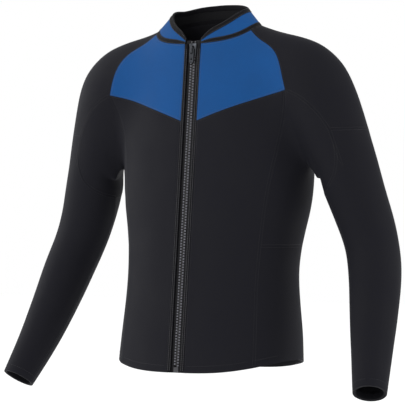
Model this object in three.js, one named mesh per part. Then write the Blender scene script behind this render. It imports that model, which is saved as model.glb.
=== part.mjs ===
// A long-sleeved neoprene wetsuit jacket with a full-length front zip, as it hangs on a wearer.
// Millimetres, +Z up, the front faces -Y and the wearer's left is +X. Every panel is a sheet of
// foam cut to its seams and laid on one body form, so neighbouring panels share their seam lines.
import * as THREE from "three";

// ---------------------------------------------------------------- driving dimensions
const FOAM = 3; // neoprene sheet
const COLLAR_FOAM = 2.5;
const LINING = 1.2; // collar lining
const SEAM_GAP = 0.3; // between two panels that are sewn edge to edge
const LAYER_GAP = 0.5; // between layers that lie on each other

const HEM_FRONT = 3; // height of the hem at the front and the back
const HEM_RISE = 23; // how much higher it is at the sides
const WAIST = 228; // height of the waist seam
const YOKE_POINT = 452; // height where the two yoke panels point down at the zip
const ARM_SEAM = 433; // height of the seam round the outside of the upper arm
const SHOULDER_REST = 600; // height of the shoulder line above the hem's level: the part's origin

const FRONT_FOOT = -127; // the front runs straight from here at the hem's level, as a zip makes it
const FRONT_LEAN = 57 / 589; // and leans back this much as it rises
const ZIP_OPENING = 21; // clear width between the two front edge bindings
const BINDING = 7; // width of the binding on each front edge
const BINDING_PROUD = 0.6; // it stands this far off the foam's faces
const TURN_UP = 14; // depth of the turned-up hem inside the edges
const TURN_UP_THICK = 1.6;

// Wearer's trunk: height, half width, and how far back its back lies.
const TRUNK = [
  [-60, 182, 99],
  [0, 181, 101],
  [60, 177, 105],
  [130, 169, 102],
  [185, 165, 102],
  [255, 174, 116],
  [310, 186, 121],
  [400, 190, 118],
  [480, 180, 106],
  [540, 160, 86],
  [585, 118, 63],
  [620, 88, 46],
  [680, 78, 40],
];
const TRUNK_SQUARENESS = 2.35; // 2 is an ellipse

// Wearer's left arm from the neck down: x, y, z of its middle, and its radius.
const ARM = [
  [60, -8, 576, 52],
  [128, -8, 552, 61],
  [206, -9, 519, 71],
  [239, 4, 455, 66],
  [266, 15, 380, 59],
  [290, 24, 305, 53],
  [313, 25, 240, 48.5],
  [330, 8, 186, 47.5],
  [342, -16, 125, 44],
  [357, -50, 55, 37.5],
  [376, -92, -21, 30],
  [386, -114, -60, 28],
];
const ARM_FLAT = 1.24; // at the shoulder the arm is this many times wider than deep
const [FLAT_FROM, FLAT_TO] = [450, 240]; // heights between which that fades away
const ARMPIT_FILLET = 36; // how softly the sleeve runs into the trunk

const NECK_WIDE = 102; // half width of the neck seam
const NECK_DEEP = 57; // half depth of the neck seam
const NECK_FRONT = 589; // height of the neck seam at the zip
const NECK_SET = 1; // there it lies this far behind the line of the front
const ZIP_TOP = NECK_FRONT + 2; // height where the closed chain ends
// How far the neck seam rises round the neck: degrees from the front, and rise.
const NECK_RISE = [
  [0, 0],
  [45, 6],
  [75, 16],
  [100, 28],
  [140, 42],
  [180, 46],
  [200, 46],
];
const COLLAR_WIDE = 76; // half width of the collar's top edge
const COLLAR_DEEP = 51; // half depth of its top edge
const COLLAR_RISE = 31.5;
const COLLAR_CORNER = 50; // degrees round the neck that its rounded front corner takes
const COLLAR_LIFT = 0.7; // it stands this far off the neck edge of the panels
const COLLAR_END = 9; // how far it rises right beside the zip
const NECK_TAPE = 7; // width of the tape over the neck seam
const COLLAR_BINDING = 9;
const RAGLAN_FRONT = 72; // degrees round the neck, from the front, where the sleeve panel starts
const RAGLAN_BACK = 125;

const TOOTH_PITCH = 5; // moulded zip, chunky size
const TOOTH_HIGH = 2.1;
const TOOTH_THICK = 3;
const TOOTH_REACH = 1.6; // past the middle
const CHAIN_HALF = 5; // half width of the closed chain
const SPINE = 1.6; // width of the moulded strip that the teeth stand on
const TAPE_THICK = 0.8;
const TAPE_SEWN = 5; // width of its edge that is sewn under the binding
const TAPE_PAST_CHAIN = 6;
const SLIDER_LONG = 22;
const SLIDER_WIDE = 15;
const SLIDER_SKIN = 1.3;
const RUNNING = 0.4; // clearance of the slider round the chain
const BRIDGE_LONG = 13.6;
const BRIDGE_WIDE = 3.6;
const BRIDGE_HIGH = 5;
const BRIDGE_BAR = 1.6;
const PULL_LONG = 25;
const PULL_WIDE = 8.8;
const PULL_THICK = 1.8;
const PULL_BAR = 2;
const PULL_CORNER = 3;
const PULL_EYE = 1.9; // radius of the hole near its end
const PULL_EYE_UP = 6.5; // from its end to the middle of that hole
const STOP_TALL = 4;
const BOX_TALL = 10; // retainer box at the zip's foot
const BOX_WIDE = 10;
const BOX_WALL = 0.8; // it stands this much proud of the teeth
const PIN_WIDE = 2.2;
const PIN_MIDDLE = 1.8; // it stands this far to the wearer's left of the zip's middle
const FLAP_THICK = 1.2; // backing flap behind the zip

// Cells along each seam. Panels that meet have the same number.
const CELLS = { skirt: 5, flank: 7, yoke: 5, across: 5, side: 8, cap: 8, gusset: 4, crook: 3, back: 5 };
const SLEEVE_ROWS = { shaping: 3, tube: 8 };

// ---------------------------------------------------------------- the body form
const V = (x, y, z) => new THREE.Vector3(x, y, z);
const mix = THREE.MathUtils.lerp;
const rad = THREE.MathUtils.degToRad;

function slopeAt(rows, i, k) {
  const a = rows[Math.max(i - 1, 0)];
  const b = rows[Math.min(i + 1, rows.length - 1)];
  return (b[k] - a[k]) / (b[0] - a[0]);
}

// Smooth value of column k of a table whose first column grows.
function along(rows, at, k) {
  let i = 0;
  while (i < rows.length - 2 && at > rows[i + 1][0]) i++;
  const [a, b] = [rows[i], rows[i + 1]];
  const w = b[0] - a[0];
  const t = THREE.MathUtils.clamp((at - a[0]) / w, 0, 1);
  const [t2, t3] = [t * t, t * t * t];
  return (
    (2 * t3 - 3 * t2 + 1) * a[k] +
    (t3 - 2 * t2 + t) * w * slopeAt(rows, i, k) +
    (3 * t2 - 2 * t3) * b[k] +
    (t3 - t2) * w * slopeAt(rows, i + 1, k)
  );
}

const frontAt = (z) => FRONT_FOOT + FRONT_LEAN * z;
const NECK_MIDDLE = frontAt(NECK_FRONT) + NECK_SET + NECK_DEEP;
const trunkMiddle = (z) => (along(TRUNK, z, 2) + frontAt(z)) / 2;

function trunkReach(dx, dy, z) {
  const n = TRUNK_SQUARENESS;
  const wide = (Math.abs(dx) / along(TRUNK, z, 1)) ** n;
  const deep = (Math.abs(dy) / (trunkMiddle(z) - frontAt(z))) ** n;
  return (wide + deep) ** (1 / n);
}

function trunkDistance(p) {
  const dy = p.y - trunkMiddle(p.z);
  const out = Math.hypot(p.x, dy);
  return out < 1e-6 ? -50 : out * (1 - 1 / trunkReach(p.x, dy, p.z));
}

const armMiddle = new THREE.CatmullRomCurve3(ARM.map(([x, y, z]) => V(x, y, z)), false, "centripetal");
const ARM_STEPS = 44;
const armBeads = Array.from({ length: ARM_STEPS + 1 }, (_, i) => {
  const t = i / ARM_STEPS;
  const at = t * (ARM.length - 1);
  const k = Math.min(Math.floor(at), ARM.length - 2);
  return { middle: armMiddle.getPoint(t), radius: mix(ARM[k][3], ARM[k + 1][3], at - k) };
});

function armDistance(p) {
  const flat = 1 + (ARM_FLAT - 1) * THREE.MathUtils.smoothstep(p.z, FLAT_TO, FLAT_FROM);
  const q = V(Math.abs(p.x), p.y * flat, p.z);
  const [line, near] = [new THREE.Line3(), V(0, 0, 0)];
  let best = Infinity;
  for (let i = 0; i < ARM_STEPS; i++) {
    const [a, b] = [armBeads[i], armBeads[i + 1]];
    line.set(a.middle, b.middle);
    const t = line.closestPointToPointParameter(q, true);
    line.at(t, near);
    best = Math.min(best, near.distanceTo(q) - mix(a.radius, b.radius, t));
  }
  return best;
}

// Signed distance to the form, near its surface: negative inside.
function formDistance(p) {
  const [a, b] = [trunkDistance(p), armDistance(p)];
  const h = Math.max(ARMPIT_FILLET - Math.abs(a - b), 0) / ARMPIT_FILLET;
  return Math.min(a, b) - (h * h * ARMPIT_FILLET) / 4;
}

function formSlope(p) {
  const [step, g] = [0.4, V(0, 0, 0)];
  for (const axis of ["x", "y", "z"]) {
    const [a, b] = [p.clone(), p.clone()];
    a[axis] += step;
    b[axis] -= step;
    g[axis] = (formDistance(a) - formDistance(b)) / (2 * step);
  }
  return g;
}

const formNormal = (p) => formSlope(p).normalize();

// Moves a point straight to the form's surface.
function settle(point) {
  const p = point.clone();
  for (let i = 0; i < 14; i++) {
    const g = formSlope(p);
    const d = THREE.MathUtils.clamp(formDistance(p), -12, 12);
    p.addScaledVector(g, -d / g.lengthSq());
  }
  return p;
}

// The form's surface at a place seen from the front (side -1) or from the back (side 1).
function seenAt(x, z, side) {
  let [out, within] = [V(x, side * 260, z), V(x, trunkMiddle(z), z)];
  if (Math.abs(x) > 150) within = V(x, Math.abs(x) > 190 ? 5 : 0, z);
  for (let i = 0; i < 40; i++) {
    const middle = out.clone().lerp(within, 0.5);
    if (formDistance(middle) > 0) out = middle;
    else within = middle;
  }
  return out;
}
const onFront = (x, z) => seenAt(x, z, -1);
const onBack = (x, z) => seenAt(x, z, 1);

// A point round the trunk: 0 degrees is the front, 90 the wearer's left.
function onTrunk(degrees, z) {
  const [s, c] = [Math.sin(rad(degrees)), -Math.cos(rad(degrees))];
  const reach = 1 / trunkReach(s, c, z);
  return V(s * reach, trunkMiddle(z) + c * reach, z);
}

// ---------------------------------------------------------------- seams and panels
const spline = (points) => new THREE.CatmullRomCurve3(points, false, "centripetal");
const seam = (points, cells) => spline(points).getSpacedPoints(cells).map(settle);
const mirrored = (points) => points.map((p) => V(-p.x, p.y, p.z));
const join = (...runs) => runs.reduce((all, run) => all.concat(all.length ? run.slice(1) : run), []);
const back = (points) => [...points].reverse();

// A net of points between four edges: bottom and top run the same way, as do left and right.
// A crest, where given, is the net's middle line, for a panel that is strongly domed.
function netBetween(bottom, top, left, right, crest) {
  const [rows, columns] = [left.length - 1, bottom.length - 1];
  return left.map((_, j) =>
    bottom.map((_, i) => {
      const [u, v] = [i / columns, j / rows];
      if (j === 0) return bottom[i];
      if (j === rows) return top[i];
      if (i === 0) return left[j];
      if (i === columns) return right[j];
      const ruled = bottom[i].clone().lerp(top[i], v).add(left[j].clone().lerp(right[j], u));
      const low = bottom[0].clone().lerp(bottom[columns], u);
      const flat = ruled.sub(low.lerp(top[0].clone().lerp(top[columns], u), v));
      if (!crest) return settle(flat);
      const chord = left[j].clone().lerp(right[j], 0.5);
      const rise = crest[j].clone().sub(chord).multiplyScalar(Math.sin(Math.PI * u));
      return settle(left[j].clone().lerp(right[j], u).add(rise));
    }),
  );
}

// Draws a net's edge points a little in, square to the edge, which leaves the seam's gap.
function trimmed(net, trim) {
  const [rows, columns] = [net.length - 1, net[0].length - 1];
  return net.map((row, j) =>
    row.map((p, i) => {
      const q = p.clone();
      const alongRow = row[Math.min(i + 1, columns)].clone().sub(row[Math.max(i - 1, 0)]).normalize();
      const alongColumn = net[Math.min(j + 1, rows)][i].clone().sub(net[Math.max(j - 1, 0)][i]).normalize();
      const inward = [
        j === 0 && [net[1][i], alongRow],
        j === rows && [net[rows - 1][i], alongRow],
        i === 0 && [row[1], alongColumn],
        i === columns && [row[columns - 1], alongColumn],
      ];
      for (const [to, edge] of inward.filter(Boolean)) {
        const move = to.clone().sub(p);
        q.addScaledVector(move.addScaledVector(edge, -move.dot(edge)).normalize(), trim);
      }
      return q;
    }),
  );
}

// A closed sheet over a net: its outside lies at one depth under the net and its inside at another.
function sheetOver(net, normalAt, depthOut, depthIn, trim = SEAM_GAP / 2) {
  const cut = trimmed(net, trim);
  const [rows, columns] = [net.length, net[0].length];
  const positions = [];
  for (const depth of [depthOut, depthIn])
    cut.forEach((row, j) =>
      row.forEach((p, i) => {
        const d = typeof depth === "function" ? depth(p) : depth;
        positions.push(...p.clone().addScaledVector(normalAt(net[j][i], j, i), -d).toArray());
      }),
    );
  const at = (layer, j, i) => layer * rows * columns + j * columns + i;
  const index = [];
  const quad = (a, b, c, d) => index.push(a, b, c, a, c, d);
  for (let j = 0; j < rows - 1; j++)
    for (let i = 0; i < columns - 1; i++) {
      quad(at(0, j, i), at(0, j, i + 1), at(0, j + 1, i + 1), at(0, j + 1, i));
      quad(at(1, j, i), at(1, j + 1, i), at(1, j + 1, i + 1), at(1, j, i + 1));
    }
  for (let i = 0; i < columns - 1; i++) {
    quad(at(0, 0, i), at(1, 0, i), at(1, 0, i + 1), at(0, 0, i + 1));
    quad(at(0, rows - 1, i), at(0, rows - 1, i + 1), at(1, rows - 1, i + 1), at(1, rows - 1, i));
  }
  for (let j = 0; j < rows - 1; j++) {
    quad(at(0, j, 0), at(0, j + 1, 0), at(1, j + 1, 0), at(1, j, 0));
    quad(at(0, j, columns - 1), at(1, j, columns - 1), at(1, j + 1, columns - 1), at(0, j + 1, columns - 1));
  }
  const geometry = new THREE.BufferGeometry();
  geometry.setAttribute("position", new THREE.Float32BufferAttribute(positions, 3));
  geometry.setIndex(index);
  return geometry;
}
const foamPanel = (net) => sheetOver(net, formNormal, 0, FOAM);

// ---------------------------------------------------------------- materials and assembly
function finish(color, roughness, metalness = 0) {
  return new THREE.MeshStandardMaterial({ color, roughness, metalness });
}
const blackNeoprene = finish(0x26252a, 0.8);
const blueNeoprene = finish(0x20508a, 0.75);
const blackBinding = finish(0x1b1b1e, 0.7);
const blackWeb = finish(0x222226, 0.85);
const blackMoulding = finish(0x2c2c2f, 0.4);
const gunmetal = finish(0x55585c, 0.35, 0.9);

const jacket = new THREE.Group();
jacket.position.z = -SHOULDER_REST;

function add(name, geometry, material, rightName) {
  for (const [label, side] of [[name, 1], [rightName, -1]]) {
    if (!label) continue;
    const mesh = new THREE.Mesh(geometry, material);
    mesh.name = label;
    mesh.scale.x = side;
    jacket.add(mesh);
  }
}
const addPair = (name, geometry, material) => add(name + "_left", geometry, material, name + "_right");

// ---------------------------------------------------------------- seam lines of the left side
const EDGE = ZIP_OPENING / 2 + BINDING; // where a front panel's foam starts
const hemHeight = (p) => HEM_FRONT + HEM_RISE * Math.min(1, Math.abs(p.x) / along(TRUNK, 0, 1)) ** 3;

function hemPoint(p) {
  const q = p.clone();
  q.z = hemHeight(p);
  return settle(q);
}

function neckPoint(degrees) {
  const [s, c] = [Math.sin(rad(degrees)), Math.cos(rad(degrees))];
  const height = NECK_FRONT + along(NECK_RISE, degrees, 1);
  return settle(V(NECK_WIDE * s, NECK_MIDDLE - NECK_DEEP * c, height));
}
const neckStart = THREE.MathUtils.radToDeg(Math.asin(EDGE / NECK_WIDE));
const steps = (from, to, count) => Array.from({ length: count + 1 }, (_, i) => mix(from, to, i / count));
const neckFront = steps(neckStart, RAGLAN_FRONT, CELLS.across).map(neckPoint);
const neckCap = steps(RAGLAN_FRONT, RAGLAN_BACK, CELLS.cap).map(neckPoint);
const neckBack = steps(RAGLAN_BACK, 180, CELLS.back).map(neckPoint);

const frontCorner = onFront(188, 503); // where yoke, front, sleeve and underarm meet
const backCorner = onBack(184, 492);
const yokePoint = onFront(EDGE, YOKE_POINT);

const zipEdgeLow = steps(HEM_FRONT, YOKE_POINT, CELLS.skirt + CELLS.flank).map((z) => onFront(EDGE, z));
const zipEdgeHigh = steps(YOKE_POINT, neckFront[0].z, CELLS.yoke).map((z) => onFront(EDGE, z));
zipEdgeHigh[CELLS.yoke] = neckFront[0];
const yokeLine = seam([yokePoint, onFront(72, 471), onFront(134, 490), frontCorner], CELLS.across);
yokeLine[0] = yokePoint;

// Raglan seams, from the neck over the shoulder to the armpit's corners.
const raglanFront = seam(
  [
    neckCap[0],
    V(118, -40, 594),
    V(140, -40, 584),
    V(160, -41, 570),
    V(175, -43, 550),
    V(184, -48, 527),
    frontCorner,
  ],
  CELLS.yoke,
);
const raglanBack = seam(
  [
    neckBack[0],
    V(114, 36, 613),
    V(143, 50, 588),
    V(166, 58, 556),
    V(178, 61, 524),
    backCorner,
  ],
  CELLS.yoke,
);

// Side seams, from the hem by the waist to the armpit's corners.
const sideWaistFront = onFront(140, WAIST);
const sideWaistBack = onBack(146, WAIST);
const sideHemFront = hemPoint(onFront(143, HEM_FRONT));
const sideHemBack = hemPoint(onBack(150, HEM_FRONT));
const sideFrontLow = seam([sideHemFront, onFront(140, 90), onFront(137, 150), sideWaistFront], CELLS.skirt);
const sideBackLow = seam([sideHemBack, onBack(148, 90), onBack(143, 150), sideWaistBack], CELLS.skirt);
const sideFrontHigh = seam(
  [
    sideWaistFront,
    onFront(150, 320),
    onFront(164, 410),
    onFront(176, 460),
    frontCorner,
  ],
  CELLS.flank,
);
const sideBackHigh = seam(
  [
    sideWaistBack,
    onBack(156, 320),
    onBack(168, 410),
    onBack(176, 455),
    backCorner,
  ],
  CELLS.flank,
);

// Hem and waist, round the trunk from seam to seam.
const hemRun = (from, to, count) => steps(from, to, count).map((a) => hemPoint(onTrunk(a, HEM_FRONT)));
const angleOf = (p) => THREE.MathUtils.radToDeg(Math.atan2(p.x, trunkMiddle(p.z) - p.y));
const hemFront = hemRun(angleOf(zipEdgeLow[0]), angleOf(sideHemFront), CELLS.across);
const hemSide = hemRun(angleOf(sideHemFront), angleOf(sideHemBack), CELLS.side);
const hemBack = hemRun(angleOf(sideHemBack), 180, CELLS.back);
hemFront[0] = zipEdgeLow[0];
hemFront[CELLS.across] = hemSide[0] = sideHemFront;
hemSide[CELLS.side] = hemBack[0] = sideHemBack;
const waistRun = (from, to, count) => steps(from, to, count).map((a) => onTrunk(a, WAIST));
const waistSide = waistRun(angleOf(sideWaistFront), angleOf(sideWaistBack), CELLS.side);
const waistBack = waistRun(angleOf(sideWaistBack), 180, CELLS.back);
waistSide[0] = sideWaistFront;
waistSide[CELLS.side] = waistBack[0] = sideWaistBack;

// The lowest place, at a depth y, where the inside of the arm still meets the trunk.
function crotch(y) {
  let lowest = V(200, y, 470);
  for (let z = 470; z > 300; z -= 2) {
    let thinnest = V(180, y, z);
    for (let x = 180; x < 240; x += 2) {
      const p = V(x, y, z);
      if (formDistance(p) > formDistance(thinnest)) thinnest = p;
    }
    if (formDistance(thinnest) > 0) break;
    lowest = thinnest;
  }
  return lowest;
}

// Round the armpit, from the front corner under the arm to the back corner.
const armpit = seam(
  [
    frontCorner,
    onFront(199, 455),
    crotch(-26),
    crotch(6),
    crotch(34),
    onBack(197, 448),
    backCorner,
  ],
  CELLS.side,
);
// Seams of the upper arm: beside the shoulder panel, down to the crook, and under the arm.
const capCornerFront = settle(V(268, -44, ARM_SEAM));
const capCornerBack = settle(V(262, 63, ARM_SEAM));
const gussetFront = seam(
  [
    frontCorner,
    onFront(222, 489),
    onFront(241, 470),
    onFront(257, 452),
    capCornerFront,
  ],
  CELLS.gusset,
);
const gussetBack = seam(
  [
    backCorner,
    V(214, 66, 482),
    V(236, 68, 464),
    V(252, 66, 450),
    capCornerBack,
  ],
  CELLS.gusset,
);
const crookFront = seam([capCornerFront, V(279, -42, 400), V(280, -40, 378), V(274, -38, 354)], CELLS.crook);
const crookBack = seam([capCornerBack, V(266, 70, 400), V(268, 73, 378), V(264, 73, 354)], CELLS.crook);
const innerArm = seam(
  [
    crookFront[CELLS.crook],
    V(258, -30, 334),
    V(238, -8, 321),
    V(232, 24, 318),
    V(240, 56, 328),
    crookBack[CELLS.crook],
  ],
  CELLS.side,
);
const outerArm = [V(302, -22, ARM_SEAM + 1), V(309, 10, ARM_SEAM + 1), V(298, 42, ARM_SEAM)];
const armSeam = seam([capCornerFront, ...outerArm, capCornerBack], CELLS.cap);

// ---------------------------------------------------------------- trunk panels
const frontNet = netBetween(hemFront, yokeLine, zipEdgeLow, join(sideFrontLow, sideFrontHigh));
addPair("front_panel", foamPanel(frontNet), blackNeoprene);
const yokeNet = netBetween(yokeLine, neckFront, zipEdgeHigh, back(raglanFront));
addPair("chest_yoke", foamPanel(yokeNet), blueNeoprene);
const sideNet = netBetween(hemSide, waistSide, sideFrontLow, sideBackLow);
addPair("side_panel", foamPanel(sideNet), blackNeoprene);

const flankNet = netBetween(waistSide, armpit, sideFrontHigh, sideBackHigh);
const gussetNet = netBetween(armpit, innerArm, join(gussetFront, crookFront), join(gussetBack, crookBack));
addPair("underarm_panel", foamPanel(flankNet.concat(gussetNet.slice(1))), blackNeoprene);

const acrossBack = (half) => join(half, back(mirrored(half)));
const backLowNet = netBetween(acrossBack(hemBack), acrossBack(waistBack), sideBackLow, mirrored(sideBackLow));
add("lower_back_panel", foamPanel(backLowNet), blackNeoprene);
const backEdge = join(sideBackHigh, back(raglanBack));
const backHighNet = netBetween(acrossBack(waistBack), acrossBack(neckBack), backEdge, mirrored(backEdge));
add("upper_back_panel", foamPanel(backHighNet), blackNeoprene);

// ---------------------------------------------------------------- sleeves
// The line over the shoulder, from the middle of the arm seam to the neck.
const shoulderCrest = seam(
  [
    armSeam[CELLS.cap / 2],
    V(306, 6, 470),
    V(286, 2, 512),
    V(252, -4, 552),
    V(206, -8, 582),
    neckCap[CELLS.cap / 2],
  ],
  CELLS.yoke + CELLS.gusset,
);
const capFront = back(join(raglanFront, gussetFront));
const capBack = back(join(raglanBack, gussetBack));
const shoulderNet = netBetween(armSeam, neckCap, capFront, capBack, shoulderCrest);
addPair("shoulder_panel", foamPanel(shoulderNet), blackNeoprene);

// The sleeve is one panel round the arm, closed by a seam along its inside.
const innerHalf = CELLS.side / 2;
const sleeveTop = join(
  back(innerArm.slice(0, innerHalf + 1)),
  back(crookFront),
  armSeam,
  crookBack,
  back(innerArm.slice(innerHalf)),
);

// Degrees round the sleeve of each of its lengthwise lines, from its inside seam to the front and on.
const [CROOK_START, CROOK_END] = [74, 138];
const halfTurn = join(
  steps(0, CROOK_START, innerHalf),
  steps(CROOK_START, CROOK_END, CELLS.crook),
  steps(CROOK_END, 180, CELLS.cap / 2),
);
const turns = join(halfTurn, [...halfTurn].reverse().map((degrees) => 360 - degrees));

// A ring of points round the sleeve at a place along the arm.
function ringAt(place) {
  const t = place / (ARM.length - 1);
  const middle = armMiddle.getPoint(t);
  const down = armMiddle.getTangent(t);
  const inward = V(-1, 0.12, 0);
  inward.addScaledVector(down, -inward.dot(down)).normalize();
  const forward = inward.clone().cross(down).normalize();
  const row = Math.min(Math.floor(place), ARM.length - 2);
  const radius = mix(ARM[row][3], ARM[row + 1][3], place - row);
  return turns.map((degrees) => {
    const out = inward.clone().multiplyScalar(Math.cos(rad(degrees)));
    out.addScaledVector(forward, Math.sin(rad(degrees)));
    return settle(middle.clone().addScaledVector(out, radius));
  });
}
const [CUFF_PLACE, TUBE_PLACE] = [10, 5.2]; // along ARM: the sleeve's end, and where it is a plain tube
const tubeNet = steps(CUFF_PLACE, TUBE_PLACE, SLEEVE_ROWS.tube).map(ringAt);
const tubeTop = tubeNet[SLEEVE_ROWS.tube];
const shapingRow = (t) => tubeTop.map((p, i) => settle(p.clone().lerp(sleeveTop[i], t)));
const shapingNet = steps(0, 1, SLEEVE_ROWS.shaping).map(shapingRow);
shapingNet[SLEEVE_ROWS.shaping] = sleeveTop;
const sleeveNet = tubeNet.concat(shapingNet.slice(1));
addPair("sleeve", foamPanel(sleeveNet), blackNeoprene);

// ---------------------------------------------------------------- turned-up hems
// A strip inside the foam along a net's lowest row, as deep as the turn-up.
function turnUp(net) {
  const [low, high] = [net[0], net[1]];
  const top = low.map((p, i) => p.clone().lerp(high[i], TURN_UP / p.distanceTo(high[i])));
  return sheetOver([low, top], formNormal, FOAM + LAYER_GAP, FOAM + LAYER_GAP + TURN_UP_THICK);
}
addPair("cuff_turn_up", turnUp(sleeveNet), blackWeb);

const across = (left, middle) => join(left, middle, back(mirrored(left)));
const hemRow = (j) => across(join(frontNet[j], sideNet[j]), backLowNet[j]);
add("hem_turn_up", turnUp([hemRow(0), hemRow(1)]), blackWeb);

// ---------------------------------------------------------------- collar
// Outward direction at each point of a net, from the net itself.
function netNormal(net) {
  const [rows, columns] = [net.length - 1, net[0].length - 1];
  return (_, j, i) => {
    const u = net[j][Math.min(i + 1, columns)].clone().sub(net[j][Math.max(i - 1, 0)]);
    const v = net[Math.min(j + 1, rows)][i].clone().sub(net[Math.max(j - 1, 0)][i]);
    return u.cross(v).normalize();
  };
}
const neckHalf = join(neckFront, neckCap, neckBack);
const neckLine = join(neckHalf, back(mirrored(neckHalf)));

function collarTop(p) {
  const angle = Math.atan2(p.x / NECK_WIDE, (NECK_MIDDLE - p.y) / NECK_DEEP);
  const past = THREE.MathUtils.clamp((Math.abs(angle) - rad(neckStart)) / rad(COLLAR_CORNER), 0, 1);
  const rise = mix(COLLAR_END, COLLAR_RISE, Math.sqrt(1 - (1 - past) ** 2));
  const lean = rise / COLLAR_RISE;
  const top = V(COLLAR_WIDE * Math.sin(angle), NECK_MIDDLE - COLLAR_DEEP * Math.cos(angle), p.z);
  return p.clone().lerp(top, lean).add(V(0, 0, rise));
}
// Heights up the collar: seam tape, shell, binding. Beside the zip all three narrow together.
const collarBreaks = [
  () => 0,
  (tall) => Math.min(NECK_TAPE, 0.3 * tall),
  (tall) => tall / 2,
  (tall) => tall - Math.min(COLLAR_BINDING, 0.4 * tall),
  (tall) => tall,
];
const collarNet = collarBreaks.map((height) =>
  neckLine.map((p) => {
    const top = collarTop(p);
    const tall = top.distanceTo(p);
    return p.clone().lerp(top, (height(tall) + COLLAR_LIFT) / tall);
  }),
);
function collarStrip(from, to, depthOut, depthIn) {
  const net = collarNet.slice(from, to + 1);
  return sheetOver(net, netNormal(net), depthOut, depthIn);
}
add("neck_seam_tape", collarStrip(0, 1, -0.4, COLLAR_FOAM + 0.4), blackBinding);
add("collar", collarStrip(1, 3, 0, COLLAR_FOAM), blueNeoprene);
add("collar_binding", collarStrip(3, 4, -0.7, COLLAR_FOAM + 0.7), blackBinding);

// ---------------------------------------------------------------- zip: x across, y into the jacket, z up it
const zip = new THREE.Group();
zip.position.y = FRONT_FOOT;
zip.rotation.x = -Math.atan(FRONT_LEAN);
jacket.add(zip);
const upZip = Math.hypot(1, FRONT_LEAN); // length along the zip for each millimetre of height
const FOOT = HEM_FRONT * upZip;
const TOP = ZIP_TOP * upZip;

const slider = new THREE.Group();
zip.add(slider);

function addHard(parent, name, geometry, material) {
  const mesh = new THREE.Mesh(geometry, material);
  mesh.name = name;
  parent.add(mesh);
}

// An outline in x and y, drawn up the zip from one place to another.
function upright(points, from, to, holes = []) {
  const shape = new THREE.Shape(points.map(([x, y]) => new THREE.Vector2(x, y)));
  shape.holes = holes.map((hole) => new THREE.Path(hole.map(([x, y]) => new THREE.Vector2(x, y))));
  return new THREE.ExtrudeGeometry(shape, { depth: to - from, bevelEnabled: false }).translate(0, 0, from);
}
const rectangle = (x0, x1, y0, y1) => [[x0, y0], [x1, y0], [x1, y1], [x0, y1]];
const mirrorX = (points) => points.map(([x, y]) => [-x, y]).reverse();

function addHardPair(name, outline, from, to, material) {
  addHard(zip, name + "_left", upright(outline, from, to), material);
  addHard(zip, name + "_right", upright(mirrorX(outline), from, to), material);
}

// Depths, from the front: binding and foam, then the tape, with the teeth round its edge.
const TAPE_FACE = FOAM + SEAM_GAP;
const CHAIN_MIDDLE = TAPE_FACE + TAPE_THICK / 2;
const CHAIN_FACE = CHAIN_MIDDLE - TOOTH_THICK / 2;
const CHAIN_BACK = CHAIN_MIDDLE + TOOTH_THICK / 2;

const bindingSoft = 1.2; // its rounded edges
const bindIn = ZIP_OPENING / 2;
const bindOut = EDGE - SEAM_GAP / 2;
const bindFace = -BINDING_PROUD;
const bindBack = FOAM;
addHardPair(
  "zip_binding",
  [
    [bindIn, bindFace + bindingSoft],
    [bindIn + bindingSoft, bindFace],
    [bindOut - bindingSoft, bindFace],
    [bindOut, bindFace + bindingSoft],
    [bindOut, bindBack],
    [bindIn, bindBack],
  ],
  FOOT,
  neckFront[0].z * upZip,
  blackBinding,
);
const TAPE_HALF = ZIP_OPENING / 2 + TAPE_SEWN;
const tapeOutline = rectangle(CHAIN_HALF + SEAM_GAP, TAPE_HALF, TAPE_FACE, TAPE_FACE + TAPE_THICK);
addHardPair("zip_tape", tapeOutline, FOOT, TOP + TAPE_PAST_CHAIN, blackWeb);

// Half of the chain: a strip with its teeth, one solid. The right half is half a pitch higher.
const chainFoot = FOOT + BOX_TALL + 1.5;
function toothedStrip(side, shift) {
  const [outer, inner, tip] = [CHAIN_HALF, CHAIN_HALF - SPINE, -TOOTH_REACH].map((x) => side * x);
  const count = Math.floor((TOP - chainFoot - shift) / TOOTH_PITCH);
  const levels = [chainFoot];
  for (let k = 0; k < count; k++) {
    const low = chainFoot + shift + k * TOOTH_PITCH + SEAM_GAP;
    levels.push(low, low + TOOTH_HIGH);
  }
  levels.push(TOP);
  const positions = [];
  // A flat face of four corners; turned gives the same face looking the other way.
  function face(a, b, c, d, turned) {
    const corners = turned ? [a, d, c, a, c, b] : [a, b, c, a, c, d];
    corners.forEach((corner) => positions.push(...corner));
  }
  // One length of a bar from x0 to x1: front and back, with its near and far sides where asked.
  const front = CHAIN_FACE;
  const back = CHAIN_BACK;
  function bar(x0, x1, low, high, near, far) {
    const turned = x1 < x0;
    face([x0, front, low], [x1, front, low], [x1, front, high], [x0, front, high], turned);
    face([x0, back, low], [x0, back, high], [x1, back, high], [x1, back, low], turned);
    if (near) face([x0, front, low], [x0, front, high], [x0, back, high], [x0, back, low], turned);
    if (far) face([x1, front, low], [x1, back, low], [x1, back, high], [x1, front, high], turned);
  }
  function end(x0, x1, z, up) {
    const turned = x1 < x0 !== up;
    face([x0, front, z], [x0, back, z], [x1, back, z], [x1, front, z], turned);
  }
  for (let i = 0; i + 1 < levels.length; i++) {
    const hasTooth = i % 2 === 1;
    bar(inner, outer, levels[i], levels[i + 1], !hasTooth, true);
    if (!hasTooth) continue;
    bar(tip, inner, levels[i], levels[i + 1], true, false);
    end(tip, inner, levels[i], false);
    end(tip, inner, levels[i + 1], true);
  }
  end(inner, outer, chainFoot, false);
  end(inner, outer, TOP, true);
  const strip = new THREE.BufferGeometry();
  strip.setAttribute("position", new THREE.Float32BufferAttribute(positions, 3));
  return strip;
}
addHard(zip, "zip_teeth_left", toothedStrip(1, 0), blackMoulding);
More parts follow.
